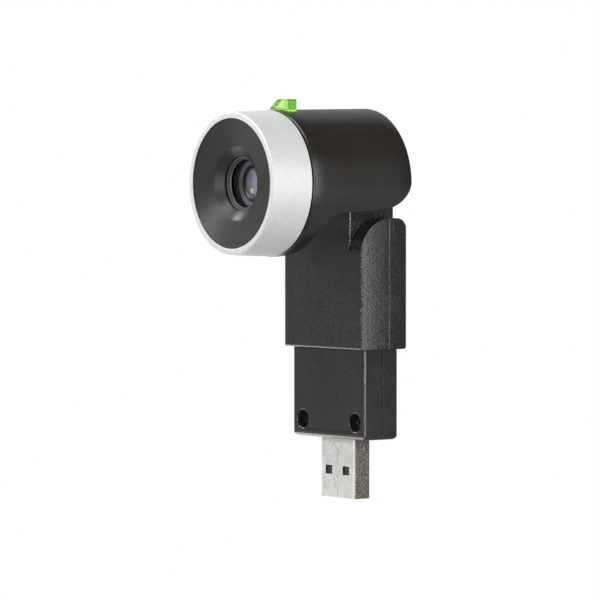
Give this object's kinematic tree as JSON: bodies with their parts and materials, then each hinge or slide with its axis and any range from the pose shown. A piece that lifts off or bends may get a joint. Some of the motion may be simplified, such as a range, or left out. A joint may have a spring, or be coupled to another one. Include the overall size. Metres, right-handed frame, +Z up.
{
  "type": "document camera",
  "caption": "Plug-in document camera: round nodding head with a silver ring and a green sliding lens shutter, on a flat stem that ends in a USB-A plug.",
  "frame": {"origin": "centre of the USB-A plug where it leaves the lower block", "axes": "+Z up the stem, away from the plug; -Y the way the lens looks; +X to the camera's left as it looks out"},
  "size_m": [0.0329, 0.0375, 0.0878],
  "materials": {
    "front_ring": "satin silver lacquer",
    "lens_dish": "fine satin",
    "lens_hood": "matt",
    "lens_retainer": "black anodised",
    "front_lens": "coated",
    "middle_lens": "coated",
    "rear_lens": "coated",
    "lens_barrel": "black anodised",
    "lens_holder": "moulded",
    "ir_filter": "dyed",
    "image_sensor": "package with glass cover",
    "camera_board": "green solder mask",
    "camera_chips": "moulded packages",
    "inner_frame": "moulded",
    "frame_screws": "zinc plated",
    "shutter_sleeve": "clear green",
    "shutter_blade": "matt black",
    "blade_pin": "turned",
    "head_housing": "satin",
    "hinge_bracket": "pressed sheet",
    "bracket_screws": "zinc plated",
    "hinge_pin": "turned",
    "pin_clip": "spring steel",
    "hinge_arm": "spring steel",
    "arm_screws": "zinc plated",
    "thrust_washers": "phosphor bronze",
    "stem_front_shell": "fine spark texture",
    "stem_rear_shell": "fine spark texture",
    "plug_front_shell": "fine spark texture",
    "plug_rear_shell": "fine spark texture",
    "plug_screws": "black oxide",
    "plug_board": "green solder mask",
    "plug_chips": "moulded packages",
    "usb_shell": "nickel plated",
    "usb_tongue": "moulded",
    "usb_contacts": "gold plated"
  },
  "bodies": {
    "stem": {"stem_front_shell": "stem_front_shell", "stem_rear_shell": "stem_rear_shell", "hinge_arm": "hinge_arm", "arm_screws": "arm_screws", "thrust_washers": "thrust_washers", "plug_front_shell": "plug_front_shell", "plug_rear_shell": "plug_rear_shell", "plug_screws": "plug_screws", "plug_board": "plug_board", "plug_chips": "plug_chips", "usb_shell": "usb_shell", "usb_tongue": "usb_tongue", "usb_contacts": "usb_contacts"},
    "head": {"head_housing": "head_housing", "front_ring": "front_ring", "lens_dish": "lens_dish", "lens_hood": "lens_hood", "lens_retainer": "lens_retainer", "front_lens": "front_lens", "middle_lens": "middle_lens", "rear_lens": "rear_lens", "lens_barrel": "lens_barrel", "lens_holder": "lens_holder", "ir_filter": "ir_filter", "image_sensor": "image_sensor", "camera_board": "camera_board", "camera_chips": "camera_chips", "inner_frame": "inner_frame", "frame_screws": "frame_screws", "blade_pin": "blade_pin", "hinge_bracket": "hinge_bracket", "bracket_screws": "bracket_screws", "hinge_pin": "hinge_pin", "pin_clip": "pin_clip"},
    "shutter": {"shutter_sleeve": "shutter_sleeve"},
    "blade": {"shutter_blade": "shutter_blade"}
  },
  "joints": [
    {"name": "head_nod", "type": "hinge", "parent": "stem", "child": "head", "pos_m": [0, -0.0013, 0.0577], "axis": [1, 0, 0], "range_deg": [-10, 30]},
    {"name": "shutter_turn", "type": "hinge", "parent": "head", "child": "shutter", "pos_m": [0, -0.02395, 0.0562], "axis": [0, -1, 0], "range_deg": [0, 22.8]},
    {"name": "blade_swing", "type": "hinge", "parent": "head", "child": "blade", "pos_m": [0, -0.02645, 0.0476], "axis": [0, -1, 0], "range_deg": [0, 64.87]}
  ],
  "couplings": [
    {"joint": "blade_swing", "follows": "shutter_turn", "ratio": 2.8454}
  ]
}
